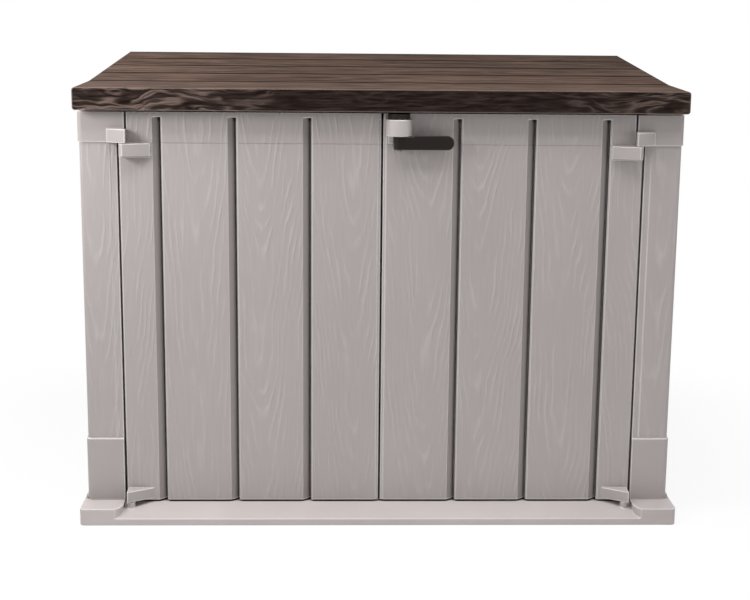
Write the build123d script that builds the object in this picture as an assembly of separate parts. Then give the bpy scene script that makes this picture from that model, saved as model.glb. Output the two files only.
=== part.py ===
from build123d import *
import os
from math import cos, radians, tan

# Outdoor storage cabinet with two front doors and a sloped top lid.
# Millimetres. X points right, Y points back (the doors face -Y), Z points up.
# The origin is at the bottom, in the middle of the overall box.

# Base moulding
BASE_WIDTH = 1296.0
BASE_DEPTH = 730.0
BASE_CORNER_RADIUS = 10.0
BASE_SKIN = 4.0
FOOT_HEIGHT = 37.0
FOOT_FLARE_WIDTH = 14.0
FOOT_FLARE_DEPTH = 30.0
FLOOR_HEIGHT = 31.0
SILL_FRONT_HEIGHT = 15.0
APRON = 59.0
SIDE_LEDGE = 11.0
BACK_LEDGE = 15.0
DOOR_STOP_GAP = 4.0
FLOOR_CELL = 215.0
BASE_RIB = 3.0

# Wall, post and door panels
WALL_THICKNESS = 24.0
DOOR_THICKNESS = 28.0
SKIN = 4.0
RIB = 3.0
RIB_SETBACK = 4.0
RIB_PITCH = 290.0
POST_WIDTH = 79.0
POST_DEPTH = 80.0
POST_RETURN = 40.0
POST_CORNER_RADIUS = 8.0
POST_STRIP_WIDTH = 14.0
POST_STRIP_DEPTH = 1.2
COLLAR_PROUD = 3.0
LOWER_COLLAR_TOP = 177.0
FLANGE_HEIGHT = 10.0
FLANGE_PROUD = 5.0
FLANGE_CHAMFER = 3.0

# Plank grooves: a long slope down to the right, then a narrow slot beside the next plank
GROOVE_SLOPE_WIDTH = 14.0
GROOVE_SLOPE_DEPTH = 11.0
GROOVE_SLOT_WIDTH = 4.0
GROOVE_SLOT_DEPTH = 14.0
GROOVE_PITCH = 158.0
GROOVE_TOP_BAND = 11.0
PLANK_EDGE = 2.5
MEETING_PLANK = 147.5
LEAST_END_PLANK = 40.0
SIDE_GROOVES = 3

# Doors and their hinges
DOOR_HEIGHT = 854.5
DOOR_FLOOR_GAP = 4.5
DOOR_GAP = 4.0
MEETING_LIP_WIDTH = 6.0
MEETING_LIP_DEPTH = 1.5
MEETING_LIP_TOP = 13.0
MEETING_RELIEF = 1.5
HINGE_INSET = 15.0
HINGE_STANDOFF = 16.0
KNUCKLE_RADIUS = 9.0
COLLAR_REACH = 17.0
PIN_RADIUS = 4.0
PIN_FIT = 0.06
PIN_END_GAP = 2.0
UPPER_LUG_DROP = 65.0
LUG_GAP = 1.0
LUG_WALL = 7.0
LUG_FRONT = 11.0
POST_LUG_HEIGHT = 29.0
POST_LUG_LENGTH = 34.0
POST_LUG_END = 6.0
DOOR_LUG_HEIGHT = 30.0
DOOR_LUG_LENGTH = 56.0
DOOR_LUG_END = 8.0
DOOR_LUG_CHAMFER = 4.0
LOWER_LUG_LIFT = 4.0
LOWER_LUG_HEIGHT = 24.0
LOWER_LUG_LENGTH = 49.0
LOWER_LUG_FRONT = 14.0
LOWER_BOSS_DEPTH = 24.0
DOOR_PIN_REACH = 22.0

# Latch on the right door
LATCH_INSET = 33.0
LATCH_STANDOFF = 12.0
HOUSING_RADIUS = 28.0
HOUSING_HEIGHT = 35.0
CAP_RADIUS = 23.5
CAP_HEIGHT = 12.0
CAP_FLUTE_WIDTH = 3.0
CAP_FLUTE_DEPTH = 1.5
CAP_FLUTES = 5
HUB_RADIUS = 10.5
LEVER_HEIGHT = 27.5
LEVER_LENGTH = 115.0
LEVER_THICKNESS = 8.0
LEVER_RAISE = 2.5
LEVER_END_RADIUS = 14.0
LATCH_PIN_HEAD = 6.0
LATCH_PAD_DEPTH = 7.0
LATCH_PAD_WIDTH = 64.0
LATCH_SCREW_SPAN = 34.0
GUSSET_WIDTH = 12.0
GUSSET_DROP = 18.0

# Lid
LID_DOOR_GAP = 4.0
LID_FRONT_OVERHANG = 27.0
LID_SIDE_OVERHANG = 6.0
LID_REAR_OVERHANG = 20.0
LID_SKIN = 4.0
LID_FRONT_HEIGHT = 47.0
LID_REAR_HEIGHT = 32.0
LID_FRONT_PLANK = 170.0
LID_PLANK_PITCH = 135.0
LID_PLANK_LINES = 4
LID_FRONT_SLOPE = 1.8
LID_SLOPE = 5.0
LID_EDGE_RADIUS = 6.0
LID_LINE_WIDTH = 6.0
LID_LINE_DEPTH = 2.0
LID_WALL_GAP = 3.0
LID_RIB_DEPTH = 16.0
LID_RIB_PITCH = 180.0
LID_RIB_MARGIN = 24.0

# Lid hinges on the back panels
LID_HINGE_PLACE = 430.0
LID_HINGE_STANDOFF = 18.0
LID_HINGE_RISE = 4.0
LID_KNUCKLE_LENGTH = 44.0
LID_LUG_WIDTH = 16.0
LID_LUG_DROP = 32.0
LID_NOTCH_MARGIN = 5.0
BACK_TOP_GAP = 12.0

# Hex-head screws, with plain six-sided shanks in like holes; radii are to the corners
SCREW_RADIUS = 2.0
SCREW_FIT = 0.1
SCREW_HEAD_RADIUS = 5.0
SCREW_HEAD_HEIGHT = 3.0
SCREW_LENGTH = 14.0
PANEL_FIT = 0.2

# Extra reach of cuts past a face, and of joined solids into each other
CUT = 5.0
OVERLAP = 1.0

# Places worked out from the sizes above
half_base = BASE_WIDTH / 2
front_y = -(BASE_DEPTH + LID_REAR_OVERHANG) / 2
base_rear_y = front_y + BASE_DEPTH
door_y = front_y + APRON
back_y = base_rear_y - BACK_LEDGE
wall_x = half_base - SIDE_LEDGE
wall_inner_x = wall_x - WALL_THICKNESS
flange_x = wall_x + COLLAR_PROUD + FLANGE_PROUD
flange_top = FOOT_HEIGHT + FLANGE_HEIGHT
post_inner_x = wall_x - POST_WIDTH
post_rear_y = door_y + POST_DEPTH
hinge_x = post_inner_x - HINGE_INSET
hinge_y = door_y - HINGE_STANDOFF
lug_front_y = hinge_y - LUG_FRONT
bore_radius = PIN_RADIUS + PIN_FIT
collar_inner_x = post_inner_x - COLLAR_REACH
door_bottom = FLOOR_HEIGHT + DOOR_FLOOR_GAP
door_top = door_bottom + DOOR_HEIGHT
upper_split = door_top - UPPER_LUG_DROP
collar_bottom = upper_split + LUG_GAP / 2
door_rear_y = door_y + DOOR_THICKNESS
stop_y = door_rear_y + DOOR_STOP_GAP
door_meeting_x = DOOR_GAP / 2
door_outer_x = post_inner_x - DOOR_GAP
door_width = door_outer_x - door_meeting_x
lower_lug_bottom = door_bottom + LOWER_LUG_LIFT
boss_top = lower_lug_bottom - LUG_GAP
groove_width = GROOVE_SLOPE_WIDTH + GROOVE_SLOT_WIDTH
latch_x = door_meeting_x + LATCH_INSET
latch_y = door_y - LATCH_STANDOFF
housing_top = door_top - CAP_HEIGHT
housing_bottom = housing_top - HOUSING_HEIGHT
lever_top = housing_bottom - LUG_GAP / 2
lever_bottom = lever_top - LEVER_HEIGHT
lid_bottom = door_top + LID_DOOR_GAP
lid_front_top = lid_bottom + LID_FRONT_HEIGHT
lid_front_y = door_y - LID_FRONT_OVERHANG
lid_rear_y = base_rear_y + LID_REAR_OVERHANG
lid_break_y = lid_front_y + LID_FRONT_PLANK
lid_x = wall_x + LID_SIDE_OVERHANG


def lid_top(y):
    """Height of the lid's outer face: a nearly level front plank, then the slope."""
    if y <= lid_break_y:
        return lid_front_top + (y - lid_front_y) * tan(radians(LID_FRONT_SLOPE))
    rise = LID_FRONT_PLANK * tan(radians(LID_FRONT_SLOPE))
    return lid_front_top + rise + (y - lid_break_y) * tan(radians(LID_SLOPE))


def lid_under(y):
    """Height of the lid plate's lower face."""
    return lid_top(y) - LID_SKIN / cos(radians(LID_SLOPE))


lid_rear_bottom = lid_top(lid_rear_y) - LID_REAR_HEIGHT
lid_hinge_y = back_y + LID_HINGE_STANDOFF
lid_hinge_z = lid_rear_bottom + LID_HINGE_RISE
lid_hinge_xs = (-LID_HINGE_PLACE, LID_HINGE_PLACE)
plank_line_ys = [lid_break_y + k * LID_PLANK_PITCH for k in range(LID_PLANK_LINES)]
back_top = lid_under(back_y) - BACK_TOP_GAP
post_top = lid_under(door_y) - LID_WALL_GAP


# Helpers for plain solids
def block(x0, x1, y0, y1, z0, z1):
    """A box between two corners."""
    middle = Pos((x0 + x1) / 2, (y0 + y1) / 2, (z0 + z1) / 2)
    return middle * Box(x1 - x0, y1 - y0, z1 - z0)


def plan(points, z0, z1):
    """A solid with the given outline seen from above."""
    face = make_face(Polyline(*points, close=True))
    return Pos(0, 0, z0) * extrude(face, z1 - z0, dir=(0, 0, 1))


def side(points, x0, x1):
    """A solid with the given (y, z) outline seen from the side."""
    facing = Plane(origin=(x0, 0, 0), x_dir=(0, 1, 0), z_dir=(1, 0, 0))
    face = facing * make_face(Polyline(*points, close=True))
    return extrude(face, x1 - x0, dir=(1, 0, 0))


def upright(x, y, radius, z0, z1):
    """A vertical cylinder."""
    return Pos(x, y, (z0 + z1) / 2) * Cylinder(radius, z1 - z0)


def crossbar(x0, x1, y, z, radius):
    """A cylinder along X."""
    return Pos((x0 + x1) / 2, y, z) * Rot(0, 90, 0) * Cylinder(radius, x1 - x0)


def cells(low, high, count, rib):
    """Equal spans between two ends, with a rib's thickness left between them."""
    step = (high - low + rib) / count
    return [(low + k * step, low + (k + 1) * step - rib) for k in range(count)]


def floor_cells(low, high):
    """Spans between the ribs under the base."""
    return cells(low, high, max(1, round((high - low) / FLOOR_CELL)), BASE_RIB)


def pocket_rows(height):
    """Rows of pockets up the inside of a panel, between level ribs."""
    return cells(SKIN, height - SKIN, max(2, round(height / RIB_PITCH)), RIB)


def spread(low, high, pitch):
    """Evenly spaced places from one end to the other, about a pitch apart."""
    count = max(1, round((high - low) / pitch))
    return [low + (high - low) * k / count for k in range(count + 1)]


def mirrored(part):
    """The left-hand twin of a right-hand piece."""
    return mirror(part, about=Plane.YZ)


def hex_bar(radius, z0, z1):
    """An upright six-sided bar at the origin."""
    return Pos(0, 0, z0) * extrude(RegularPolygon(radius, 6), z1 - z0)


def screw():
    """Hex-head screw along -Z, its head seated at the origin."""
    return hex_bar(SCREW_HEAD_RADIUS, 0, SCREW_HEAD_HEIGHT) + hex_bar(SCREW_RADIUS, -SCREW_LENGTH, 0)


# Screw places, one for each row of pockets, each a location whose +Z points out of the head
screw_heights = [FOOT_HEIGHT + (z0 + z1) / 2 for z0, z1 in pocket_rows(back_top - FOOT_HEIGHT)]
corner_screw_x = (wall_inner_x + wall_x) / 2
corner_screw_places = [
    Pos(s * corner_screw_x, back_y, z) * Rot(-90, 0, 0) for s in (-1, 1) for z in screw_heights
]
post_screw_places = [
    Pos(s * corner_screw_x, post_rear_y - SKIN, z) * Rot(90, 0, 0)
    for s in (-1, 1) for z in screw_heights
]
joint_screw_y = back_y - (WALL_THICKNESS + SKIN) / 2
joint_screw_places = [
    Pos(SKIN + PANEL_FIT / 2, joint_screw_y, z) * Rot(0, 90, 0) for z in screw_heights
]
latch_screw_z = (housing_top + housing_bottom) / 2
latch_screw_places = [
    Pos(latch_x + s * LATCH_SCREW_SPAN / 2, door_y + LATCH_PAD_DEPTH, latch_screw_z) * Rot(-90, 0, 0)
    for s in (-1, 1)
]


def drill(part, places):
    """Takes screw clearance holes out of a piece."""
    reach = SCREW_LENGTH + CUT
    hole = hex_bar(SCREW_RADIUS + SCREW_FIT, -reach, reach)
    return part - [place * hole for place in places]


def screw_set(places):
    """A group of separate screws."""
    return Compound(children=[place * screw() for place in places])


# Ribbed panel with plank grooves, outer face at y = 0, inside towards +Y
def grooves_from_left(width):
    """Where grooves start, counted from a panel's left end, as many as leave a plank at the right end."""
    spare = width - MEETING_PLANK - groove_width - LEAST_END_PLANK
    return [MEETING_PLANK + k * GROOVE_PITCH for k in range(1 + int(spare // GROOVE_PITCH))]


def grooves_from_right(width):
    """Where grooves start, counted from a panel's right end."""
    return [width - start - groove_width for start in reversed(grooves_from_left(width))]


def panel(width, height, thickness, grooves):
    """Panel with a grooved outer face, and inside it a rim all round and pockets between thin ribs."""
    outline = [(0, PLANK_EDGE), (PLANK_EDGE, 0)]
    for start in grooves:
        slope_end = start + GROOVE_SLOPE_WIDTH
        slot_end = start + groove_width
        outline += [(start, 0), (slope_end, GROOVE_SLOPE_DEPTH), (slope_end, GROOVE_SLOT_DEPTH),
                    (slot_end, GROOVE_SLOT_DEPTH), (slot_end, PLANK_EDGE), (slot_end + PLANK_EDGE, 0)]
    outline += [(width - PLANK_EDGE, 0), (width, PLANK_EDGE), (width, thickness), (0, thickness)]
    part = plan(outline, 0, height)
    band_bottom = height - GROOVE_TOP_BAND
    groove_back = GROOVE_SLOT_DEPTH + SKIN
    band_width = groove_width + PLANK_EDGE
    part += [block(x, x + band_width, 0, groove_back, band_bottom, height) for x in grooves]

    # Columns of pockets, as (left, right, skin left in front): one behind each groove and each plank
    columns = [(x + RIB, x + groove_width + SKIN - RIB, groove_back) for x in grooves]
    lefts = [SKIN] + [x + groove_width + SKIN for x in grooves]
    columns += [(left, right, SKIN) for left, right in zip(lefts, grooves + [width - SKIN])]
    behind = thickness + CUT
    pockets = [block(x0, x1, y, behind, z0, z1)
               for x0, x1, y in columns for z0, z1 in pocket_rows(height)]
    pockets.append(block(SKIN, width - SKIN, thickness - RIB_SETBACK, behind, SKIN, height - SKIN))
    return part - pockets


def flange_profile(face, edge):
    """Outline of the flange along a wall's foot, from inside the wall's face to the flange's edge."""
    return [
        (face - OVERLAP, FOOT_HEIGHT), (edge, FOOT_HEIGHT), (edge, flange_top - FLANGE_CHAMFER),
        (edge - FLANGE_CHAMFER, flange_top), (face - OVERLAP, flange_top),
    ]


def side_flange(y0, y1):
    """Flange along the outer foot of a right-hand post or wall."""
    facing = Plane(origin=(0, y1, 0), x_dir=(1, 0, 0), z_dir=(0, -1, 0))
    face = facing * make_face(Polyline(*flange_profile(wall_x, flange_x), close=True))
    return extrude(face, y1 - y0, dir=(0, -1, 0))


# Base
def sill_height(y):
    """Height of the sloped sill in front of the doors."""
    share = (y - front_y) / (door_y - front_y)
    return SILL_FRONT_HEIGHT + share * (FLOOR_HEIGHT - SILL_FRONT_HEIGHT)


def doorway_cut():
    """What the doorway takes from the base: the sloped sill, curving out between the feet."""
    above = FOOT_HEIGHT + CUT
    before = front_y - CUT
    outline = [
        (before, sill_height(before)), (door_y, FLOOR_HEIGHT), (stop_y, FLOOR_HEIGHT),
        (stop_y, above), (before, above),
    ]
    flare_x = post_inner_x + FOOT_FLARE_WIDTH
    flare_y = front_y + FOOT_FLARE_DEPTH
    curve = TangentArc((post_inner_x, flare_y), (flare_x, front_y), tangent=(0, -1))
    rest = Polyline((flare_x, front_y), (flare_x, before), (0, before), (0, flare_y),
                    (post_inner_x, flare_y))
    flare = extrude(make_face([curve, rest]), above, dir=(0, 0, 1)) & side(outline, 0, flare_x)
    return [side(outline, -post_inner_x, post_inner_x), flare, mirrored(flare)]


def base_pockets():
    """Hollows of the ribbed underside: below the floor, the doorway, the sill and the feet."""
    doorway_roof = FLOOR_HEIGHT - BASE_SKIN
    pocket_front = front_y + BASE_SKIN
    across = floor_cells(-half_base + BASE_SKIN, half_base - BASE_SKIN)
    rows = [(door_y + BASE_RIB, stop_y, doorway_roof)]
    for y0, y1 in floor_cells(stop_y + BASE_RIB, base_rear_y - BASE_SKIN):
        rows.append((y0, y1, FOOT_HEIGHT - BASE_SKIN))
    pockets = [block(x0, x1, y0, y1, -CUT, top) for x0, x1 in across for y0, y1, top in rows]
    wedge = [
        (pocket_front, -CUT), (pocket_front, sill_height(pocket_front) - BASE_SKIN),
        (door_y, doorway_roof), (door_y, -CUT),
    ]
    sill_x = post_inner_x - BASE_RIB
    pockets += [side(wedge, x0, x1) for x0, x1 in floor_cells(-sill_x, sill_x)]
    foot = block(post_inner_x + FOOT_FLARE_WIDTH + BASE_SKIN, half_base - BASE_SKIN,
                 pocket_front, door_y, -CUT, FOOT_HEIGHT - BASE_SKIN)
    return pockets + [foot, mirrored(foot)]


def make_base():
    part = block(-half_base, half_base, front_y, base_rear_y, 0, FOOT_HEIGHT)
    part = fillet(part.edges().filter_by(Axis.Z), BASE_CORNER_RADIUS)
    part -= doorway_cut() + base_pockets()
    boss_bottom = boss_top - LOWER_BOSS_DEPTH
    part += [upright(x, hinge_y, KNUCKLE_RADIUS, boss_bottom, boss_top) for x in (-hinge_x, hinge_x)]
    return part - [upright(x, hinge_y, bore_radius, boss_bottom + SKIN, boss_top + CUT)
                   for x in (-hinge_x, hinge_x)]


# Front post, right-hand
def post_band(proud, z0, z1):
    """A length of the post's outer form, standing proud of the main faces."""
    band = block(post_inner_x, wall_x + proud, door_y - proud, post_rear_y, z0, z1)
    corner = band.edges().filter_by(Axis.Z).sort_by(lambda e: e.center().X - e.center().Y)[-1]
    return fillet(corner, POST_CORNER_RADIUS + proud)


def make_post():
    part = post_band(0, FOOT_HEIGHT, post_top)
    strip_x = post_inner_x + POST_STRIP_WIDTH
    part -= block(post_inner_x - CUT, strip_x, door_y - CUT, door_y + POST_STRIP_DEPTH,
                  FOOT_HEIGHT - CUT, post_top + CUT)
    part += post_band(COLLAR_PROUD, FOOT_HEIGHT, LOWER_COLLAR_TOP)
    part += post_band(COLLAR_PROUD, collar_bottom, door_top)
    above = post_top + CUT
    part -= block(post_inner_x + SKIN, wall_x - SKIN, door_y + SKIN, post_rear_y - SKIN, 0, above)
    part -= block(post_inner_x - CUT, wall_inner_x, door_y + POST_RETURN, post_rear_y + CUT, 0, above)
    part += block(collar_inner_x, post_inner_x + OVERLAP, door_y - COLLAR_PROUD,
                  door_y + WALL_THICKNESS, collar_bottom, door_top)
    part += side_flange(door_y + POST_CORNER_RADIUS, post_rear_y)
    lug_top = collar_bottom + POST_LUG_HEIGHT
    lug_end = hinge_x - LUG_WALL
    lug_root = hinge_x + POST_LUG_LENGTH
    part += plan([(lug_end, lug_front_y), (lug_root, door_y - POST_LUG_END), (lug_root, door_y),
                  (collar_inner_x, door_y), (lug_end, hinge_y + LUG_WALL)], collar_bottom, lug_top)
    part -= upright(hinge_x, hinge_y, bore_radius, collar_bottom - CUT, collar_bottom + DOOR_PIN_REACH)
    return drill(part, post_screw_places)


# Side wall, right-hand
def make_side_wall():
    rear_y = back_y - SKIN
    length = rear_y - post_rear_y
    tallest = lid_under(back_y) - LID_WALL_GAP - FOOT_HEIGHT
    plank = (length - SIDE_GROOVES * groove_width) / (SIDE_GROOVES + 1)
    grooves = [plank + k * (plank + groove_width) for k in range(SIDE_GROOVES)]
    part = panel(length, tallest, WALL_THICKNESS, grooves)
    part = Pos(wall_x, post_rear_y, FOOT_HEIGHT) * Rot(0, 0, 90) * part

    def top_line(drop):
        return [(y, lid_under(y) - LID_WALL_GAP - drop) for y in (post_rear_y, lid_break_y, rear_y)]

    slope = top_line(0)
    above = lid_top(lid_rear_y)
    waste = [(post_rear_y - CUT, slope[0][1])] + slope
    waste += [(back_y, slope[-1][1]), (back_y, above), (post_rear_y - CUT, above)]
    part -= side(waste, wall_inner_x - CUT, wall_x + CUT)
    part += side(slope + top_line(SKIN)[::-1], wall_inner_x, wall_x)
    part += side_flange(post_rear_y, rear_y)
    return drill(part, corner_screw_places + post_screw_places)


# Back panel, right-hand half
def make_back_panel():
    height = back_top - FOOT_HEIGHT
    inner_end = wall_inner_x - PANEL_FIT
    width = inner_end - PANEL_FIT / 2
    part = panel(width, height, WALL_THICKNESS, grooves_from_right(width))
    part = Pos(inner_end, back_y, FOOT_HEIGHT) * Rot(0, 0, 180) * part
    part += block(inner_end - OVERLAP, wall_x, back_y - SKIN, back_y, FOOT_HEIGHT, back_top)
    part += side(flange_profile(back_y, back_y + FLANGE_PROUD), PANEL_FIT / 2, wall_x)
    lug_face = back_y - OVERLAP
    lug_outline = [
        (lug_face, lid_hinge_z), (lid_hinge_y, lid_hinge_z),
        (lid_hinge_y, lid_hinge_z - KNUCKLE_RADIUS), (lug_face, lid_hinge_z - LID_LUG_DROP),
    ]
    gap = LID_KNUCKLE_LENGTH / 2 + LUG_GAP
    for x0 in (LID_HINGE_PLACE - gap - LID_LUG_WIDTH, LID_HINGE_PLACE + gap):
        x1 = x0 + LID_LUG_WIDTH
        part += side(lug_outline, x0, x1)
        part += crossbar(x0, x1, lid_hinge_y, lid_hinge_z, KNUCKLE_RADIUS)
        part -= crossbar(x0 - CUT, x1 + CUT, lid_hinge_y, lid_hinge_z, bore_radius)
    return drill(part, corner_screw_places + joint_screw_places)


# Doors
def door_shell(grooves, left_x):
    """Ribbed door panel in place, its outer face on the door plane."""
    return Pos(left_x, door_y, door_bottom) * panel(door_width, DOOR_HEIGHT, DOOR_THICKNESS, grooves)


def hinge_side():
    """Lugs and solid corner of a right-hand door, its upper corner's cut-out and its pin bores."""
    split = upper_split - LUG_GAP / 2
    upper_bottom = split - DOOR_LUG_HEIGHT
    upper_inner = hinge_x - DOOR_LUG_LENGTH
    lower_top = lower_lug_bottom + LOWER_LUG_HEIGHT
    lower_inner = hinge_x - LOWER_LUG_LENGTH
    outer = hinge_x + LUG_WALL
    body = door_y + SKIN
    lugs = plan([(hinge_x, lug_front_y), (upper_inner, door_y - DOOR_LUG_END), (upper_inner, body),
                 (outer, body), (outer, lug_front_y + LUG_WALL)], upper_bottom, split)
    lugs = chamfer(lugs.edges().group_by(Axis.Z)[0].sort_by(Axis.Y)[:-1], DOOR_LUG_CHAMFER)
    lugs += plan([(outer, hinge_y - LOWER_LUG_FRONT), (lower_inner, door_y), (lower_inner, body),
                  (outer, body)], lower_lug_bottom, lower_top)
    notch_x = collar_inner_x - DOOR_GAP
    rim_x = notch_x - SKIN
    lugs += block(rim_x, door_outer_x, door_y, door_rear_y, upper_bottom, split)
    lugs += block(rim_x, notch_x, door_y, door_rear_y, split - OVERLAP, door_top)
    notch = block(notch_x, door_outer_x + CUT, door_y - CUT, door_rear_y + CUT, split, door_top + CUT)
    bores = upright(hinge_x, hinge_y, bore_radius, split - DOOR_PIN_REACH, split + CUT)
    bores += upright(hinge_x, hinge_y, bore_radius, lower_lug_bottom - CUT,
                     lower_lug_bottom + DOOR_PIN_REACH)
    return lugs, notch, bores


def meeting_edge():
    """What is cut from the right-hand door's meeting edge: a step in front, relief for its swing behind."""
    edge = door_meeting_x
    below = door_bottom - CUT
    step = block(edge - CUT, edge + MEETING_LIP_WIDTH, door_y - CUT, door_y + MEETING_LIP_DEPTH,
                 below, door_top - MEETING_LIP_TOP)
    relief = plan([(edge, (door_y + door_rear_y) / 2), (edge + MEETING_RELIEF, door_rear_y),
                   (edge, door_rear_y + CUT)], below, door_top + CUT)
    return step + relief


def make_left_door():
    lugs, notch, bores = hinge_side()
    part = door_shell(grooves_from_right(door_width), -door_outer_x)
    part -= mirrored(meeting_edge())
    return part - mirrored(notch) + mirrored(lugs) - mirrored(bores)


def make_right_door():
    lugs, notch, bores = hinge_side()
    part = door_shell(grooves_from_left(door_width), door_meeting_x) - meeting_edge()
    pad_half = LATCH_PAD_WIDTH / 2
    part += block(latch_x - pad_half, latch_x + pad_half, door_y + SKIN - OVERLAP,
                  door_y + LATCH_PAD_DEPTH, housing_bottom, housing_top)
    return drill(part - notch + lugs - bores, latch_screw_places)


def door_pin(x, middle):
    """A door hinge pin that reaches into the lugs above and below it."""
    reach = DOOR_PIN_REACH - PIN_END_GAP
    return upright(x, hinge_y, PIN_RADIUS, middle - reach, middle + reach)


# Latch
def half_round(radius, z0, z1):
    """A half-round piece against the door's face."""
    inside = block(latch_x - 2 * radius, latch_x + 2 * radius, door_y, door_y + 2 * radius,
                   z0 - CUT, z1 + CUT)
    return upright(latch_x, door_y, radius, z0, z1) - inside


def make_latch_cap():
    part = half_round(CAP_RADIUS, housing_top, door_top)
    flute = block(-CAP_FLUTE_WIDTH / 2, CAP_FLUTE_WIDTH / 2, -CAP_RADIUS - CUT, CAP_FLUTE_DEPTH - CAP_RADIUS,
                  housing_top - CUT, door_top + CUT)
    step = 180 / (CAP_FLUTES + 1)
    turns = [(k + 1) * step - 90 for k in range(CAP_FLUTES)]
    return part - [Pos(latch_x, door_y, 0) * Rot(0, 0, turn) * flute for turn in turns]


def make_latch_housing():
    part = half_round(HOUSING_RADIUS, housing_bottom, housing_top)
    gusset_x = latch_x - HUB_RADIUS - LUG_GAP
    gusset = [(door_y, housing_bottom), (latch_y, housing_bottom), (door_y, housing_bottom - GUSSET_DROP)]
    part += side(gusset, gusset_x - GUSSET_WIDTH, gusset_x)
    part -= upright(latch_x, latch_y, bore_radius, housing_bottom - CUT, housing_top - SKIN)
    return drill(part, latch_screw_places)


def make_latch_pin():
    head_bottom = lever_bottom - LUG_GAP / 2 - SCREW_HEAD_HEIGHT
    head = Pos(latch_x, latch_y, head_bottom) * hex_bar(LATCH_PIN_HEAD, 0, SCREW_HEAD_HEIGHT)
    return head + upright(latch_x, latch_y, PIN_RADIUS, head_bottom, housing_top - SKIN)


def make_latch_lever():
    front = latch_y - HUB_RADIUS
    rear = front + LEVER_THICKNESS
    end_x = latch_x + LEVER_LENGTH
    raise_x = latch_x + HOUSING_RADIUS + 2 * LUG_GAP
    plate = block(latch_x, end_x, front, rear, lever_bottom, lever_top)
    plate += block(raise_x, end_x, front, rear, lever_bottom, lever_top + LEVER_RAISE)
    plate = fillet(plate.edges().filter_by(Axis.Y).group_by(Axis.X)[-1], LEVER_END_RADIUS)
    part = plate + upright(latch_x, latch_y, HUB_RADIUS, lever_bottom, lever_top)
    return part - upright(latch_x, latch_y, bore_radius, lever_bottom - CUT, lever_top + CUT)


# Lid
def lid_outline(inset, below):
    """Side outline of the lid's outer faces, or of its hollow with an inset."""
    front = lid_front_y + inset
    rear = lid_rear_y - inset
    drop = inset / cos(radians(LID_SLOPE))
    top = [(y, lid_top(y) - drop) for y in (front, lid_break_y, rear)]
    return [(front, lid_bottom - below)] + top + [(rear, lid_rear_bottom - below)]


def lid_shell():
    """Outer skin of the lid, open below, with plank lines across its top."""
    part = side(lid_outline(0, 0), -lid_x, lid_x)
    rim = part.faces().sort_by(Axis.Z)[0].edges()
    break_line = part.edges().filter_by(Axis.X).sort_by(lambda e: abs(e.center().Y - lid_break_y))[:1]
    corners = part.edges().filter_by(Axis.Z)
    part = fillet(part.edges() - rim - break_line - corners, LID_EDGE_RADIUS)
    part -= side(lid_outline(LID_SKIN, CUT), -lid_x + LID_SKIN, lid_x - LID_SKIN)
    half = LID_LINE_WIDTH / 2
    for y in plank_line_ys:
        bottom = lid_top(y) - LID_LINE_DEPTH
        above = lid_top(y) + CUT
        line = [(y - half, lid_top(y - half)), (y, bottom), (y + half, lid_top(y + half)),
                (y + half, above), (y - half, above)]
        part -= side(line, -lid_x - CUT, lid_x + CUT)
    return part


def lid_ribs():
    """Ribs under the lid plate, kept inside the walls and posts."""
    rib_x = post_inner_x - LID_RIB_MARGIN
    rib_front = lid_front_y + LID_RIB_MARGIN
    rib_rear = back_y - WALL_THICKNESS - LID_RIB_MARGIN
    places = (rib_front, lid_break_y, rib_rear)
    top = [(y, lid_under(y) + OVERLAP) for y in places]
    bottom = [(y, lid_under(y) - LID_RIB_DEPTH) for y in places]
    ribs = [side(top + bottom[::-1], x - RIB / 2, x + RIB / 2)
            for x in spread(-rib_x, rib_x, LID_RIB_PITCH)]
    for y in [rib_front] + plank_line_ys + [rib_rear]:
        under = lid_under(y)
        ribs.append(block(-rib_x, rib_x, y - RIB / 2, y + RIB / 2, under - LID_RIB_DEPTH, under + OVERLAP))
    return ribs


def make_lid():
    part = lid_shell()
    part += lid_ribs()

    # Hinge knuckles, with the rear skirt cut away round them
    half = LID_KNUCKLE_LENGTH / 2
    notch_half = half + LUG_GAP + LID_LUG_WIDTH + LID_NOTCH_MARGIN
    notch_top = lid_under(lid_rear_y) - LID_EDGE_RADIUS
    web_ys = (lid_hinge_y - KNUCKLE_RADIUS, lid_hinge_y + KNUCKLE_RADIUS)
    web = [(y, lid_under(y) + OVERLAP) for y in web_ys] + [(y, lid_hinge_z) for y in web_ys[::-1]]
    for x in lid_hinge_xs:
        part -= block(x - notch_half, x + notch_half, lid_rear_y - LID_SKIN - OVERLAP, lid_rear_y + CUT,
                      lid_rear_bottom - CUT, notch_top)
        part += side(web, x - half, x + half)
        part += crossbar(x - half, x + half, lid_hinge_y, lid_hinge_z, KNUCKLE_RADIUS)
        part -= crossbar(x - half - CUT, x + half + CUT, lid_hinge_y, lid_hinge_z, bore_radius)
    return part


def make_lid_pins():
    half = LID_KNUCKLE_LENGTH / 2 + LUG_GAP + LID_LUG_WIDTH
    pins = [crossbar(x - half, x + half, lid_hinge_y, lid_hinge_z, PIN_RADIUS) for x in lid_hinge_xs]
    return Compound(children=pins)


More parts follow.
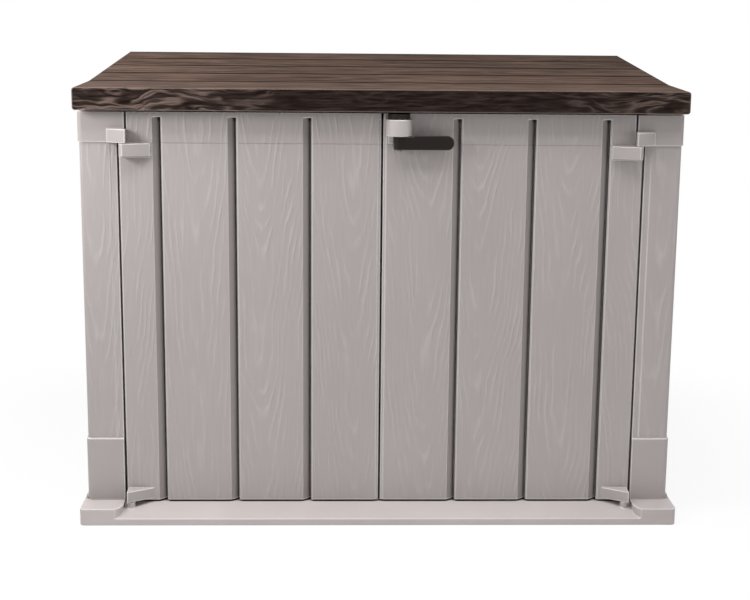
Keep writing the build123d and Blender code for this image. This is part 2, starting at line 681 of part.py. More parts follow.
post = make_post()
side_wall = make_side_wall()
back_panel = make_back_panel()
lower_split = (boss_top + lower_lug_bottom) / 2
nodes = {
    "base_floor": make_base(),
    "right_front_post": post,
    "left_front_post": mirrored(post),
    "right_side_wall": side_wall,
    "left_side_wall": mirrored(side_wall),
    "right_back_panel": back_panel,
    "left_back_panel": mirrored(back_panel),
    "left_door_panel": make_left_door(),
    "right_door_panel": make_right_door(),
    "left_upper_hinge_pin": door_pin(-hinge_x, upper_split),
    "right_upper_hinge_pin": door_pin(hinge_x, upper_split),
    "left_lower_hinge_pin": door_pin(-hinge_x, lower_split),
    "right_lower_hinge_pin": door_pin(hinge_x, lower_split),
    "latch_housing": make_latch_housing(),
    "latch_cap": make_latch_cap(),
    "latch_pin": make_latch_pin(),
    "latch_lever": make_latch_lever(),
    "latch_screws": screw_set(latch_screw_places),
    "lid_panel": make_lid(),
    "lid_hinge_pins": make_lid_pins(),
    "corner_screws": screw_set(corner_screw_places),
    "post_screws": screw_set(post_screw_places),
    "back_joint_screws": screw_set(joint_screw_places),
}

os.makedirs("parts", exist_ok=True)
for name, part in nodes.items():
    export_step(part, f"parts/{name}.step")
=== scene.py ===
import bpy
import math
from mathutils import Matrix, Vector


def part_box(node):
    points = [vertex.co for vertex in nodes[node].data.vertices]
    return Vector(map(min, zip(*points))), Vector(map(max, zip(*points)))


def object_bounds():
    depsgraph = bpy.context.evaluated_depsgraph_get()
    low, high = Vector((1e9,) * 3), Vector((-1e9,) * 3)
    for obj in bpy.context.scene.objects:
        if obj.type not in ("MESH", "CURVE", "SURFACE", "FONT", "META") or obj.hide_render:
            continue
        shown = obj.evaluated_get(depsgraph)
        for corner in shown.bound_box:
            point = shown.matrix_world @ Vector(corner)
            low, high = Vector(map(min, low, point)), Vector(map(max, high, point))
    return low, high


# Looks of an outdoor storage cabinet with two front doors and a sloped top lid.
# Metres. The doors face -Y, +X points right and +Z up, as in the frame.
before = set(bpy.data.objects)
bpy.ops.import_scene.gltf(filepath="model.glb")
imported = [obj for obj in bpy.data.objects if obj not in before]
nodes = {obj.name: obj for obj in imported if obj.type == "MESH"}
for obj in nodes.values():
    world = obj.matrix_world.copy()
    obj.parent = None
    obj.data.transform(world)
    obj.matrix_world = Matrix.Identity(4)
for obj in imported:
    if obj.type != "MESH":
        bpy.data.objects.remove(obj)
cad_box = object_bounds()

# Camera, with angles in degrees
CAMERA_PLACE = (-0.0823, -2.9413, 1.0907)
CAMERA_PITCH = 9.826
CAMERA_YAW = 1.496
CAMERA_ROLL = 0.53
CAMERA_LENS = 59.95
CAMERA_SHIFT = -0.09

# Lamps, all soft boxes
LAMPS = {
    "key": {"place": (-1.25, -0.8, 1.2), "target": (-0.5, -0.3, 0.75), "size": (0.4, 0.4), "power": 10.5},
    "rim": {"place": (-0.85, 0.15, 1.5), "target": (-0.5, -0.15, 0.95), "size": (0.5, 0.5), "power": 5.0},
    "overhead": {"place": (0.0, -0.72, 2.25), "target": (0.0, -0.55, 0.0), "size": (2.4, 0.9), "power": 52.0},
    "fill": {"place": (2.0, -1.9, 0.8), "target": (0.4, -0.3, 0.3), "size": (1.0, 1.6), "power": 9.0},
}

# Surroundings
SKY_STRENGTH = 0.22
FLOOR_RADIUS = 9.0
FLOOR_CORNERS = 96
FLOOR_SHADE_REACH = 0.7
FLOOR_GLOW = 0.89

# Colours, linear
PLASTIC_DARK = (0.318, 0.283, 0.276, 1.0)
PLASTIC_LIGHT = (0.440, 0.402, 0.392, 1.0)
# Painted shade on the grooves' slanted sides and in the moulding line across the doors
PLASTIC_PAINTED_SHADE = (0.262, 0.233, 0.225, 1.0)
# Painted highlight along the body's edges
PLASTIC_EDGE_HIGHLIGHT = (0.70, 0.67, 0.66, 1.0)
# Painted shade in crevices and gaps
PLASTIC_CREVICE_SHADE = (0.020, 0.017, 0.016, 1.0)
BASE_DARK = (0.365, 0.326, 0.318, 1.0)
BASE_LIGHT = (0.490, 0.450, 0.440, 1.0)
TOP_DARK = (0.0105, 0.0050, 0.0030, 1.0)
TOP_LIGHT = (0.132, 0.083, 0.061, 1.0)
SKIRT_DARK = (0.0095, 0.0055, 0.0045, 1.0)
SKIRT_LIGHT = (0.115, 0.082, 0.070, 1.0)
# Painted highlight along the lid's edges, and painted shade in its crevices and in the lines between its
# planks
LID_EDGE_HIGHLIGHT = (0.27, 0.205, 0.175, 1.0)
LID_CREVICE_SHADE = (0.0035, 0.0020, 0.0014, 1.0)
LATCH_DARK = (0.0065, 0.0050, 0.0044, 1.0)
LATCH_LIGHT = (0.0170, 0.0120, 0.0100, 1.0)
# Painted highlight along the latch's edges and painted shade in its crevices
LATCH_EDGE_HIGHLIGHT = (0.050, 0.040, 0.036, 1.0)
LATCH_CREVICE_SHADE = (0.003, 0.003, 0.003, 1.0)
PIN_DARK = (0.20, 0.19, 0.185, 1.0)
PIN_LIGHT = (0.27, 0.255, 0.25, 1.0)
ZINC_DARK = (0.40, 0.40, 0.41, 1.0)
ZINC_LIGHT = (0.62, 0.62, 0.63, 1.0)
# Painted highlight along the edges of the zinc plating
ZINC_EDGE_HIGHLIGHT = (0.72, 0.72, 0.73, 1.0)
FLOOR_WHITE = (0.86, 0.86, 0.86, 1.0)
WHITE = (1.0, 1.0, 1.0, 1.0)

# Plank layout, as the solids have it
PLANK_PITCH = 0.158
SIDE_PLANKS = 4
GROOVE_WIDTH = 0.018
POST_GRAIN = (0.177, 0.8255)
LID_BREAK = -0.173
LID_PITCH = 0.135
LID_FRONT_PLANK = -1.0

# Lines between the lid's planks and the moulding line across the doors, both with painted shade
LID_LINE_HALF = 0.0100
LID_LINE_CORE = 0.0045
DOOR_LINE_HEIGHT = 0.8245
DOOR_LINE_HALF = 0.0012
FACE_MARGIN = 0.0008

# How squarely a surface faces a given way, as a share of its normal
GROOVE_FACING = 0.786
GROOVE_FACING_MARGIN = 0.035
OUTWARD_FACING = 0.95
SIDEWAYS_FACING = 0.6
END_FACING = 0.7
LEVEL_FACING = 0.7
TOP_FACING = (0.55, 0.90)

# Wood grain: arches, their spacing, shape and unevenness
PLANK_ARCHES = 0.0115
LID_ARCHES = 0.016
ARCH_TIP = 0.020
ARCH_STRAY = 0.060
ARCH_SLOPE = 0.05
ARCH_SLOPE_SPREAD = 0.13
ARCH_WANDER = 0.070
ARCH_RIPPLE = 0.013
ARCH_SHARPNESS = 3.0
ARCH_FADE = (0.38, 0.66)

# Swirls of the lid's skirt. At each end: from one x to another, and the strength at each.
SWIRL_LINES = 13.0
SWIRL_WARP = 0.09
SWIRL_SHARPNESS = 2.4
SWIRL_PATCHES = (0.34, 0.58)
# The swirls are partly the skirt's marbling and partly painted light: they are strongest at the left end,
# where the light falls
SWIRL_LEFT = (-0.60, -0.15, 2.1, 0.10)
SWIRL_RIGHT = (0.25, 0.62, 0.10, 0.75)

# Noise drawn out along the grain: scale across it, scale along it, detail
STRETCHED_ROUGHNESS = 0.55
GRAIN_WANDER = (6.0, 2.6, 1.0)
GRAIN_RIPPLE = (45.0, 11.0, 2.0)
GRAIN_FADE = (34.0, 6.0, 2.0)
BODY_STREAKS = (300.0, 9.0, 3.0)
TOP_FINE = (130.0, 10.0, 6.0)
TOP_BROAD = (55.0, 3.0, 3.0)
TOP_PATCHES = (9.0, 2.0, 1.0)
SKIRT_WARP = (16.0, 5.0, 3.0)
SKIRT_SWIRL = (36.0, 4.5, 2.0)
SKIRT_PATCHES = (30.0, 9.0, 2.0)
SKIRT_VEINS = (190.0, 14.0, 3.0)

# Even noise: scale, detail
BODY_MOTTLE = (900.0, 2.0)
BODY_CLOUD = (5.0, 2.0)
BODY_CLOUD_UPRIGHT = 0.5
PLAIN_CLOUD = (7.0, 3.0)

# Seeds that set one run of planks, or one pattern, apart from another
DOOR_SEED = 3.0
BACK_SEED = 113.0
SIDE_SEEDS = {"left": 211.0, "right": 307.0}
WALL_SEED_STEP = 40.0
SIDEWAYS_SEED_STEP = 31.0
STREAK_SEED = 0.0
WARP_SEED = 9.0
SWIRL_SEED = 5.0
PATCH_SEED = 2.0

# How much each pattern adds to a surface's tone and relief
BODY_TONE = {"cloud": 0.3, "grain": 0.36, "streaks": 0.45}
BODY_TONE_START = 0.20
BODY_RELIEF = {"streaks": 0.35, "grain": 1.4, "mottle": 0.06}
PLAIN_TONE = {"cloud": 0.75, "mottle": 0.25}
TOP_TONE = {"fine": 1.7, "broad": 1.0, "patches": 0.5, "arches": 0.25}
TOP_TONE_START = 0.28
TOP_RELIEF = {"broad": 1.0, "fine": 0.4, "arches": 0.25}
SKIRT_TONE = {"veins": 0.7, "swirl": 1.3}
SKIRT_TONE_START = -0.27
SKIRT_RELIEF = {"veins": 1.2, "swirl": 2.0}

# Depth of relief, roughness and shine
BODY_DEPTH = 0.0006
PLAIN_DEPTH = 0.00012
LID_DEPTH = 0.0007
BODY_ROUGHNESS = 0.42
BODY_ROUGHNESS_SPREAD = 0.18
PLAIN_ROUGHNESS_SPREAD = 0.15
TOP_ROUGHNESS = 0.62
TOP_ROUGHNESS_SPREAD = 0.2
SKIRT_ROUGHNESS = 0.40
LID_SPECULAR = 0.03
LATCH_SPECULAR = 0.15

# Edge rounding, with angles in degrees
EDGE_RADIUS = 0.0011
EDGE_ANGLE = 28.0
EDGE_STEPS = 2
WELD_REACH = 1e-5
FLAT_ANGLE = 1.0
NORMAL_WEIGHT = 100

# Painted highlights along edges and painted shade in crevices
SOFT_EDGE = 0.0026
SOFT_EDGE_SAMPLES = 6
HIGHLIGHT_STRENGTH = 0.9
LID_HIGHLIGHT_STRENGTH = 0.6
HIGHLIGHT_REACH = 0.0046
HIGHLIGHT_BEND = (0.015, 0.06)
HIGHLIGHT_OPENNESS = (0.40, 0.60)
CREVICE_REACH = 0.012
CREVICE_OPENNESS = (0.34, 0.62)
CONTACT_REACH = 0.010
SHADE_SAMPLES = 8

# Sockets of a mix node that belong to colours, by number
MIX_SHARE = 0
MIX_FIRST = 6
MIX_SECOND = 7
MIX_RESULT = 2


# Node helpers
def add(tree, kind, inputs=None, **settings):
    """Adds a node, sets it up, and links or fills its inputs."""
    made = tree.nodes.new(kind)
    for name, value in settings.items():
        setattr(made, name, value)
    for key, value in (inputs or {}).items():
        if isinstance(value, bpy.types.NodeSocket):
            tree.links.new(value, made.inputs[key])
        else:
            made.inputs[key].default_value = value
    return made


def calc(tree, operation, *values):
    """A math node's result."""
    return add(tree, "ShaderNodeMath", dict(enumerate(values)), operation=operation).outputs[0]


def ramp(tree, value, low, high, start=0.0, end=1.0):
    """A value eased from one range to another."""
    inputs = {0: value, 1: low, 2: high, 3: start, 4: end}
    return add(tree, "ShaderNodeMapRange", inputs, interpolation_type="SMOOTHSTEP").outputs[0]


def choose(tree, share, first, second):
    """The first value where share is 0, the second where it is 1."""
    return calc(tree, "MULTIPLY_ADD", calc(tree, "SUBTRACT", second, first), share, first)


def blend(tree, share, first, second):
    """The first colour where share is 0, the second where it is 1."""
    inputs = {MIX_SHARE: share, MIX_FIRST: first, MIX_SECOND: second}
    return add(tree, "ShaderNodeMix", inputs, data_type="RGBA").outputs[MIX_RESULT]


def centred(tree, pattern):
    """A pattern from 0 to 1, moved to lie evenly about 0."""
    return calc(tree, "SUBTRACT", pattern, 0.5)


def weighted(tree, weights, start=0.0, **patterns):
    """A start value plus each pattern times its weight."""
    total = start
    for name, weight in weights.items():
        total = calc(tree, "MULTIPLY_ADD", patterns[name], weight, total)
    return total


def vector(tree, x, y, z):
    return add(tree, "ShaderNodeCombineXYZ", {0: x, 1: y, 2: z}).outputs[0]


def length(tree, x, y):
    flat = vector(tree, x, y, 0.0)
    return add(tree, "ShaderNodeVectorMath", {0: flat}, operation="LENGTH").outputs["Value"]


def noise(tree, place, scale, detail=2.0, roughness=0.5):
    inputs = {"Vector": place, "Scale": scale, "Detail": detail, "Roughness": roughness}
    return add(tree, "ShaderNodeTexNoise", inputs).outputs[0]


def stretched_noise(tree, across, along, seed, across_scale, along_scale, detail):
    """Noise drawn out along the grain."""
    place = vector(tree, calc(tree, "MULTIPLY", across, across_scale),
                   calc(tree, "MULTIPLY", along, along_scale), seed)
    return noise(tree, place, 1.0, detail, STRETCHED_ROUGHNESS)


def plank_place(tree, across, start, pitch):
    """How many planks a place is from the start, and how far it is from the middle of its own plank."""
    share = calc(tree, "DIVIDE", calc(tree, "SUBTRACT", across, start), pitch)
    local = calc(tree, "MULTIPLY", centred(tree, calc(tree, "FRACT", share)), pitch)
    return share, local


def faces(tree, normal_part, least):
    """1 where a part of the normal, either way, is more than the least share, and 0 elsewhere."""
    return calc(tree, "GREATER_THAN", calc(tree, "ABSOLUTE", normal_part), least)


def new_material(name):
    """An empty material, its node tree, and the sockets of a place and of the normal there."""
    material = bpy.data.materials.new(name)
    material.use_nodes = True
    tree = material.node_tree
    tree.nodes.clear()
    coordinates = add(tree, "ShaderNodeTexCoord")
    place = add(tree, "ShaderNodeSeparateXYZ", {0: coordinates.outputs["Object"]})
    normal = add(tree, "ShaderNodeSeparateXYZ", {0: coordinates.outputs["Normal"]})
    return material, tree, place.outputs, normal.outputs


def finish_material(tree, colours, roughness, height, depth, edge_highlight=HIGHLIGHT_STRENGTH, metallic=0.0, specular=0.5,
                    contact=False):
    """Joins the face colour, a painted highlight along edges and painted shade in crevices with roughness and
    bump in a surface shader.

    Crevices are those of the piece itself or, with contact, gaps against other pieces as well, where the
    painted shade stands in for contact shadow.
    """
    face, edge, crevice = colours
    rounded = add(tree, "ShaderNodeBevel", {"Radius": SOFT_EDGE}, samples=SOFT_EDGE_SAMPLES).outputs[0]
    flat = add(tree, "ShaderNodeNewGeometry").outputs["True Normal"]
    # Painted highlight: lighter colour where the surface bends at an edge, kept out of crevices
    wide = add(tree, "ShaderNodeBevel", {"Radius": HIGHLIGHT_REACH}, samples=SHADE_SAMPLES).outputs[0]
    level = add(tree, "ShaderNodeVectorMath", {0: wide, 1: flat}, operation="DOT_PRODUCT").outputs["Value"]
    painted_highlight = ramp(tree, calc(tree, "SUBTRACT", 1.0, level), *HIGHLIGHT_BEND, 0.0, edge_highlight)
    # Painted shade in crevices and, with contact, in gaps against other pieces, from ambient occlusion
    crevice_reach = CONTACT_REACH if contact else CREVICE_REACH
    openness = add(tree, "ShaderNodeAmbientOcclusion", {"Distance": crevice_reach}, samples=SHADE_SAMPLES,
                   only_local=not contact).outputs["AO"]
    painted_highlight = calc(tree, "MULTIPLY", painted_highlight, ramp(tree, openness, *HIGHLIGHT_OPENNESS))
    colour = blend(tree, ramp(tree, openness, *CREVICE_OPENNESS), crevice, face)
    colour = blend(tree, painted_highlight, colour, edge)
    bump = add(tree, "ShaderNodeBump", {"Height": height, "Strength": 1.0, "Distance": depth,
                                        "Normal": rounded})
    inputs = {"Base Color": colour, "Roughness": roughness, "Normal": bump.outputs[0],
              "Metallic": metallic, "Specular IOR Level": specular}
    surface = add(tree, "ShaderNodeBsdfPrincipled", inputs)
    add(tree, "ShaderNodeOutputMaterial", {0: surface.outputs[0]})


def wood_arches(tree, across, along, seed, spacing):
    """Embossed wood grain: nested arches up the middle of a plank, as thin ridges from 0 to 1."""
    random = add(tree, "ShaderNodeTexWhiteNoise", {"W": seed}, noise_dimensions="1D")
    shares = add(tree, "ShaderNodeSeparateColor", {0: random.outputs["Color"]}).outputs
    wander = stretched_noise(tree, across, along, seed, *GRAIN_WANDER)
    ripple = stretched_noise(tree, across, along, seed, *GRAIN_RIPPLE)
    fade = ramp(tree, stretched_noise(tree, across, along, seed, *GRAIN_FADE), *ARCH_FADE)
    middle = calc(tree, "MULTIPLY_ADD", shares[0], ARCH_STRAY, -ARCH_STRAY / 2)
    slope = calc(tree, "MULTIPLY_ADD", shares[1], -ARCH_SLOPE_SPREAD, -ARCH_SLOPE)
    bow = length(tree, calc(tree, "SUBTRACT", across, middle), ARCH_TIP)
    radius = calc(tree, "MULTIPLY_ADD", along, slope, bow)
    radius = calc(tree, "MULTIPLY_ADD", wander, ARCH_WANDER, radius)
    radius = calc(tree, "MULTIPLY_ADD", ripple, ARCH_RIPPLE, radius)
    phase = calc(tree, "MULTIPLY", radius, 2 * math.pi / spacing)
    wave = calc(tree, "MULTIPLY_ADD", calc(tree, "COSINE", phase), 0.5, 0.5)
    return calc(tree, "MULTIPLY", calc(tree, "POWER", wave, ARCH_SHARPNESS), fade)


# Body plastic with embossed vertical planks
def plank_plastic(name, outward, pitch, origin, seed, face=None, band=None, line_height=None):
    """Taupe plastic: wood grain on flat faces that point outward, plain fine texture elsewhere.

    Planks are counted from origin, its x on faces to the front or back and its y on faces to the sides.
    The slanted sides of the grooves, and the moulding line where line_height is given, get painted shade.
    Grain keeps behind the plane y = face and within the heights of band, where these are given.
    """
    material, tree, (x, y, z), normal = new_material(name)
    sideways = faces(tree, normal[0], SIDEWAYS_FACING)
    across = choose(tree, sideways, x, y)
    share, local = plank_place(tree, across, choose(tree, sideways, *origin), pitch)
    plank = calc(tree, "FLOOR", share)
    plank_seed = calc(tree, "ADD", calc(tree, "MULTIPLY_ADD", sideways, SIDEWAYS_SEED_STEP, plank), seed)
    arches = wood_arches(tree, local, z, plank_seed, PLANK_ARCHES)
    streak = stretched_noise(tree, across, z, STREAK_SEED, *BODY_STREAKS)
    mottle = noise(tree, vector(tree, x, y, z), *BODY_MOTTLE)
    cloud = noise(tree, vector(tree, x, y, calc(tree, "MULTIPLY", z, BODY_CLOUD_UPRIGHT)), *BODY_CLOUD)
    facing = calc(tree, "ADD", calc(tree, "MULTIPLY", normal[0], outward[0]),
                  calc(tree, "MULTIPLY", normal[1], outward[1]))
    # Painted shade on the grooves' slanted sides, which face away from the light
    painted_shade = calc(tree, "COMPARE", facing, GROOVE_FACING, GROOVE_FACING_MARGIN)
    grained = calc(tree, "GREATER_THAN", facing, OUTWARD_FACING)
    if face is not None:
        grained = calc(tree, "MULTIPLY", grained, calc(tree, "GREATER_THAN", y, face - FACE_MARGIN))
    if band is not None:
        low, high = band
        grained = calc(tree, "MULTIPLY", grained, ramp(tree, z, low, low + FACE_MARGIN))
        grained = calc(tree, "MULTIPLY", grained, ramp(tree, z, high - FACE_MARGIN, high, 1.0, 0.0))
    grain = calc(tree, "MULTIPLY", arches, grained)
    streaks = calc(tree, "MULTIPLY", centred(tree, streak), grained)
    height = weighted(tree, BODY_RELIEF, streaks=streaks, grain=grain, mottle=mottle)
    tone = weighted(tree, BODY_TONE, BODY_TONE_START, cloud=cloud, grain=grain, streaks=streaks)
    if line_height is not None:
        # Painted shade in the moulding line, a groove in the relief
        away = calc(tree, "ABSOLUTE", calc(tree, "SUBTRACT", z, line_height))
        line = ramp(tree, away, 0.0, DOOR_LINE_HALF, 1.0, 0.0)
        height = calc(tree, "SUBTRACT", height, line)
        painted_shade = calc(tree, "MAXIMUM", painted_shade, line)
    colour = blend(tree, painted_shade, blend(tree, tone, PLASTIC_DARK, PLASTIC_LIGHT), PLASTIC_PAINTED_SHADE)
    roughness = calc(tree, "MULTIPLY_ADD", streak, BODY_ROUGHNESS_SPREAD, BODY_ROUGHNESS)
    finish_material(tree, (colour, PLASTIC_EDGE_HIGHLIGHT, PLASTIC_CREVICE_SHADE), roughness, height, BODY_DEPTH)
    return material


# Smooth plastic and plated metal
def plain_plastic(name, dark, light, edge, crevice, least_roughness, mottle_scale, **settings):
    """Moulded plastic or plated metal with a fine even texture and slight clouding."""
    material, tree, place, _ = new_material(name)
    spot = vector(tree, *place)
    cloud = noise(tree, spot, *PLAIN_CLOUD)
    mottle = noise(tree, spot, mottle_scale)
    tone = weighted(tree, PLAIN_TONE, cloud=cloud, mottle=mottle)
    roughness = calc(tree, "MULTIPLY_ADD", mottle, PLAIN_ROUGHNESS_SPREAD, least_roughness)
    colour = blend(tree, tone, dark, light)
    finish_material(tree, (colour, edge, crevice), roughness, mottle, PLAIN_DEPTH, **settings)
    return material


# Lid plastic with planks that run from side to side
def lid_top(tree, across, along, y):
    """Fine streaks along the planks, with painted shade in the lines between them: colour, height, roughness
    and lines.
    """
    share, local = plank_place(tree, y, LID_BREAK, LID_PITCH)
    plank = calc(tree, "FLOOR", calc(tree, "MAXIMUM", share, LID_FRONT_PLANK))
    fine = stretched_noise(tree, across, along, plank, *TOP_FINE)
    broad = stretched_noise(tree, across, along, plank, *TOP_BROAD)
    patches = stretched_noise(tree, across, along, plank, *TOP_PATCHES)
    arches = wood_arches(tree, local, along, plank, LID_ARCHES)
    tone = weighted(tree, TOP_TONE, TOP_TONE_START, fine=centred(tree, fine), broad=centred(tree, broad),
                    patches=centred(tree, patches), arches=arches)
    height = weighted(tree, TOP_RELIEF, broad=broad, fine=fine, arches=arches)
    roughness = calc(tree, "MULTIPLY_ADD", fine, TOP_ROUGHNESS_SPREAD, TOP_ROUGHNESS)
    # The nearest line between planks is at most half a plank away, and the front plank has only one
    from_line = calc(tree, "PINGPONG", calc(tree, "MAXIMUM", share, -0.5), 0.5)
    from_line = calc(tree, "MULTIPLY", from_line, LID_PITCH)
    # Painted shade in the lines between planks
    line = ramp(tree, from_line, LID_LINE_CORE, LID_LINE_HALF, 1.0, 0.0)
    colour = blend(tree, line, blend(tree, tone, TOP_DARK, TOP_LIGHT), LID_CREVICE_SHADE)
    return colour, height, roughness, line


def lid_skirt(tree, across, along, x, level):
    """Veins and, on upright faces, pale swirls that are strongest at the left end: colour and height."""
    warp = stretched_noise(tree, across, along, WARP_SEED, *SKIRT_WARP)
    warped = calc(tree, "MULTIPLY_ADD", warp, SWIRL_WARP, across)
    swirl = stretched_noise(tree, warped, along, SWIRL_SEED, *SKIRT_SWIRL)
    swirl = calc(tree, "PINGPONG", calc(tree, "MULTIPLY", swirl, SWIRL_LINES), 1.0)
    swirl = calc(tree, "POWER", swirl, SWIRL_SHARPNESS)
    patches = stretched_noise(tree, across, along, PATCH_SEED, *SKIRT_PATCHES)
    swirl = calc(tree, "MULTIPLY", swirl, ramp(tree, patches, *SWIRL_PATCHES))
    # Painted light: the swirls are strongest at the left end, where the light falls
    strength = calc(tree, "MAXIMUM", ramp(tree, x, *SWIRL_LEFT), ramp(tree, x, *SWIRL_RIGHT))
    swirl = calc(tree, "MULTIPLY", swirl, choose(tree, level, strength, 0.0))
    veins = stretched_noise(tree, across, along, SWIRL_SEED, *SKIRT_VEINS)
    tone = weighted(tree, SKIRT_TONE, SKIRT_TONE_START, veins=veins, swirl=swirl)
    height = weighted(tree, SKIRT_RELIEF, veins=veins, swirl=swirl)
    return blend(tree, tone, SKIRT_DARK, SKIRT_LIGHT), height


def lid_plastic(name):
    """Brown plastic: streaked planks on the top, dark veins and swirls on the skirt."""
    material, tree, (x, y, z), normal = new_material(name)
    end = faces(tree, normal[0], END_FACING)
    level = faces(tree, normal[2], LEVEL_FACING)
    top = ramp(tree, normal[2], *TOP_FACING)
    along = choose(tree, end, x, y)
    across = choose(tree, level, z, y)
    top_colour, top_height, top_roughness, line = lid_top(tree, across, along, y)
    skirt_colour, skirt_height = lid_skirt(tree, across, along, x, level)
    colour = blend(tree, top, skirt_colour, top_colour)
    height = choose(tree, top, skirt_height, top_height)
    roughness = choose(tree, top, SKIRT_ROUGHNESS, top_roughness)
    # Painted highlight along edges, left out of the lines between planks
    edge_highlight = calc(tree, "MULTIPLY_ADD", line, -LID_HIGHLIGHT_STRENGTH, LID_HIGHLIGHT_STRENGTH)
    finish_material(tree, (colour, LID_EDGE_HIGHLIGHT, LID_CREVICE_SHADE), roughness, height, LID_DEPTH, edge_highlight,
                    specular=LID_SPECULAR)
    return material


# Edge rounding of the frame's nodes
def round_edges(piece, radius):
    """Rounds a moulded piece's sharp edges and smooths its shading."""
    weld = piece.modifiers.new("weld", "WELD")
    weld.merge_threshold = WELD_REACH
    flat = piece.modifiers.new("flat", "DECIMATE")
    flat.decimate_type = "DISSOLVE"
    flat.angle_limit = math.radians(FLAT_ANGLE)
    bevel = piece.modifiers.new("rounding", "BEVEL")
    bevel.width = radius
    bevel.segments = EDGE_STEPS
    bevel.limit_method = "ANGLE"
    bevel.angle_limit = math.radians(EDGE_ANGLE)
    bevel.harden_normals = False
    normals = piece.modifiers.new("normals", "WEIGHTED_NORMAL")
    normals.keep_sharp = False
    normals.weight = NORMAL_WEIGHT


def dress(names, material, radius=None):
    """Gives pieces a material and, with a radius, rounded edges."""
    for name in names:
        piece = nodes[name]
        piece.data.materials.clear()
        piece.data.materials.append(material)
        if radius:
            round_edges(piece, radius)


# Doors and back panels. The latch housing's flat back lies on the doors' outer face.
door_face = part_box("latch_housing")[1].y
doors = plank_plastic("door_planks", (0, -1), PLANK_PITCH, (0.0, 0.0), DOOR_SEED, face=door_face,
                      line_height=DOOR_LINE_HEIGHT)
backs = plank_plastic("back_planks", (0, 1), PLANK_PITCH, (0.0, 0.0), BACK_SEED)
dress(["left_door_panel", "right_door_panel"], doors, EDGE_RADIUS)
dress(["left_back_panel", "right_back_panel"], backs, EDGE_RADIUS)

# Posts, each narrower than a plank and centred in one, and side walls
side_low, side_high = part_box("right_side_wall")
side_pitch = (side_high.y - side_low.y + GROOVE_WIDTH) / SIDE_PLANKS
side_origin = (0.0, side_low.y - GROOVE_WIDTH / 2)
for side, sign in (("left", -1), ("right", 1)):
    seed = SIDE_SEEDS[side]
    post_low, post_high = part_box(f"{side}_front_post")
    post_middle = (post_low + post_high) / 2
    post_origin = (post_middle.x - PLANK_PITCH / 2, post_middle.y - PLANK_PITCH / 2)
    post = plank_plastic(f"{side}_post_grain", (sign, -1), PLANK_PITCH, post_origin, seed, band=POST_GRAIN)
    wall = plank_plastic(f"{side}_wall_planks", (sign, 0), side_pitch, side_origin, seed + WALL_SEED_STEP)
    dress([f"{side}_front_post"], post, EDGE_RADIUS)
    dress([f"{side}_side_wall"], wall, EDGE_RADIUS)

# Base, latch, lid, pins and screws
# The base and latch housing also get painted shade in gaps against other pieces
smooth = plain_plastic("smooth_plastic", BASE_DARK, BASE_LIGHT, PLASTIC_EDGE_HIGHLIGHT, PLASTIC_CREVICE_SHADE,
                       least_roughness=0.42, mottle_scale=700.0, contact=True)
latch = plain_plastic("latch_plastic_black", LATCH_DARK, LATCH_LIGHT, LATCH_EDGE_HIGHLIGHT, LATCH_CREVICE_SHADE,
                      least_roughness=0.28, mottle_scale=900.0, specular=LATCH_SPECULAR)
pin = plain_plastic("pin_plastic_grey", PIN_DARK, PIN_LIGHT, PIN_LIGHT, PLASTIC_CREVICE_SHADE,
                    least_roughness=0.40, mottle_scale=900.0)
zinc = plain_plastic("zinc_plate", ZINC_DARK, ZINC_LIGHT, ZINC_EDGE_HIGHLIGHT, ZINC_DARK,
                     least_roughness=0.30, mottle_scale=1500.0, metallic=1.0)
dress(["base_floor", "latch_housing"], smooth, EDGE_RADIUS)
dress(["latch_cap", "latch_lever"], latch, EDGE_RADIUS)
dress(["lid_panel"], lid_plastic("lid_planks"), EDGE_RADIUS)
dress([name for name in nodes if name.endswith("hinge_pin")] + ["latch_pin", "lid_hinge_pins"], pin)
dress([name for name in nodes if name.endswith("screws")], zinc)


# Stage
def seen_directly(tree):
    """1 for what is looked at, even mirrored or through something clear, and 0 for light alone."""
    path = add(tree, "ShaderNodeLightPath").outputs
    seen = calc(tree, "MAXIMUM", path["Is Camera Ray"], path["Is Glossy Ray"])
    return calc(tree, "MAXIMUM", seen, path["Is Transmission Ray"])


def beyond(tree, value, half):
    """How far a value lies outside the range from minus half to half."""
    return calc(tree, "MAXIMUM", calc(tree, "SUBTRACT", calc(tree, "ABSOLUTE", value), half), 0.0)


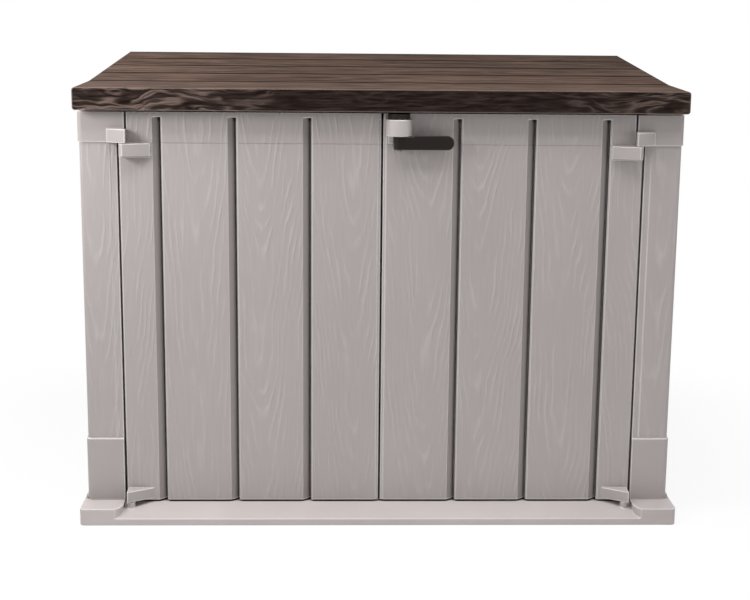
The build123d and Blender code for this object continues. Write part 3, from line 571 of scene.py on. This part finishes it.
def make_floor():
    """Pale floor that shows the object's shadow near it and turns plain white further out."""
    bpy.ops.mesh.primitive_circle_add(vertices=FLOOR_CORNERS, radius=FLOOR_RADIUS, fill_type="NGON")
    floor = bpy.context.object
    floor.name = "floor"
    material, tree, place, _ = new_material("pale_floor")
    matte = add(tree, "ShaderNodeBsdfDiffuse", {"Color": FLOOR_WHITE})
    white = add(tree, "ShaderNodeEmission", {"Color": WHITE, "Strength": 1.0})
    half = (cad_box[1] - cad_box[0]) / 2
    away = length(tree, beyond(tree, place[0], half.x), beyond(tree, place[1], half.y))
    share = ramp(tree, away, 0.0, FLOOR_SHADE_REACH, FLOOR_GLOW, 1.0)
    share = calc(tree, "MULTIPLY", share, seen_directly(tree))
    mixed = add(tree, "ShaderNodeMixShader", {0: share, 1: matte.outputs[0], 2: white.outputs[0]})
    add(tree, "ShaderNodeOutputMaterial", {0: mixed.outputs[0]})
    floor.data.materials.append(material)


def make_world():
    """Even white surroundings, plain white where seen and softer as light."""
    world = bpy.data.worlds.new("studio")
    bpy.context.scene.world = world
    world.use_nodes = True
    tree = world.node_tree
    tree.nodes.clear()
    strength = calc(tree, "MULTIPLY_ADD", seen_directly(tree), 1.0 - SKY_STRENGTH, SKY_STRENGTH)
    sky = add(tree, "ShaderNodeBackground", {"Color": WHITE, "Strength": strength})
    add(tree, "ShaderNodeOutputWorld", {0: sky.outputs[0]})


def make_lamp(name, place, target, size, power):
    """A soft box at a place, turned to a target."""
    lamp = bpy.data.lights.new(name, "AREA")
    lamp.shape = "RECTANGLE"
    lamp.size, lamp.size_y = size
    lamp.energy = power
    box = bpy.data.objects.new(name, lamp)
    bpy.context.scene.collection.objects.link(box)
    box.location = place
    aim = Vector(target) - Vector(place)
    box.rotation_euler = aim.to_track_quat("-Z", "Y").to_euler()


def make_camera():
    """Camera in front of the doors, a little left of the middle and looking slightly down."""
    lens = bpy.data.cameras.new("camera")
    lens.lens = CAMERA_LENS
    lens.shift_y = CAMERA_SHIFT
    camera = bpy.data.objects.new("camera", lens)
    bpy.context.scene.collection.objects.link(camera)
    turn = Matrix.Rotation(math.radians(-CAMERA_YAW), 4, "Z")
    turn @= Matrix.Rotation(math.radians(90 - CAMERA_PITCH), 4, "X")
    turn @= Matrix.Rotation(math.radians(CAMERA_ROLL), 4, "Z")
    camera.matrix_world = Matrix.Translation(CAMERA_PLACE) @ turn
    bpy.context.scene.camera = camera


make_floor()
make_world()
for lamp_name, lamp_settings in LAMPS.items():
    make_lamp(lamp_name, **lamp_settings)
make_camera()
bpy.context.scene.view_settings.view_transform = "Standard"
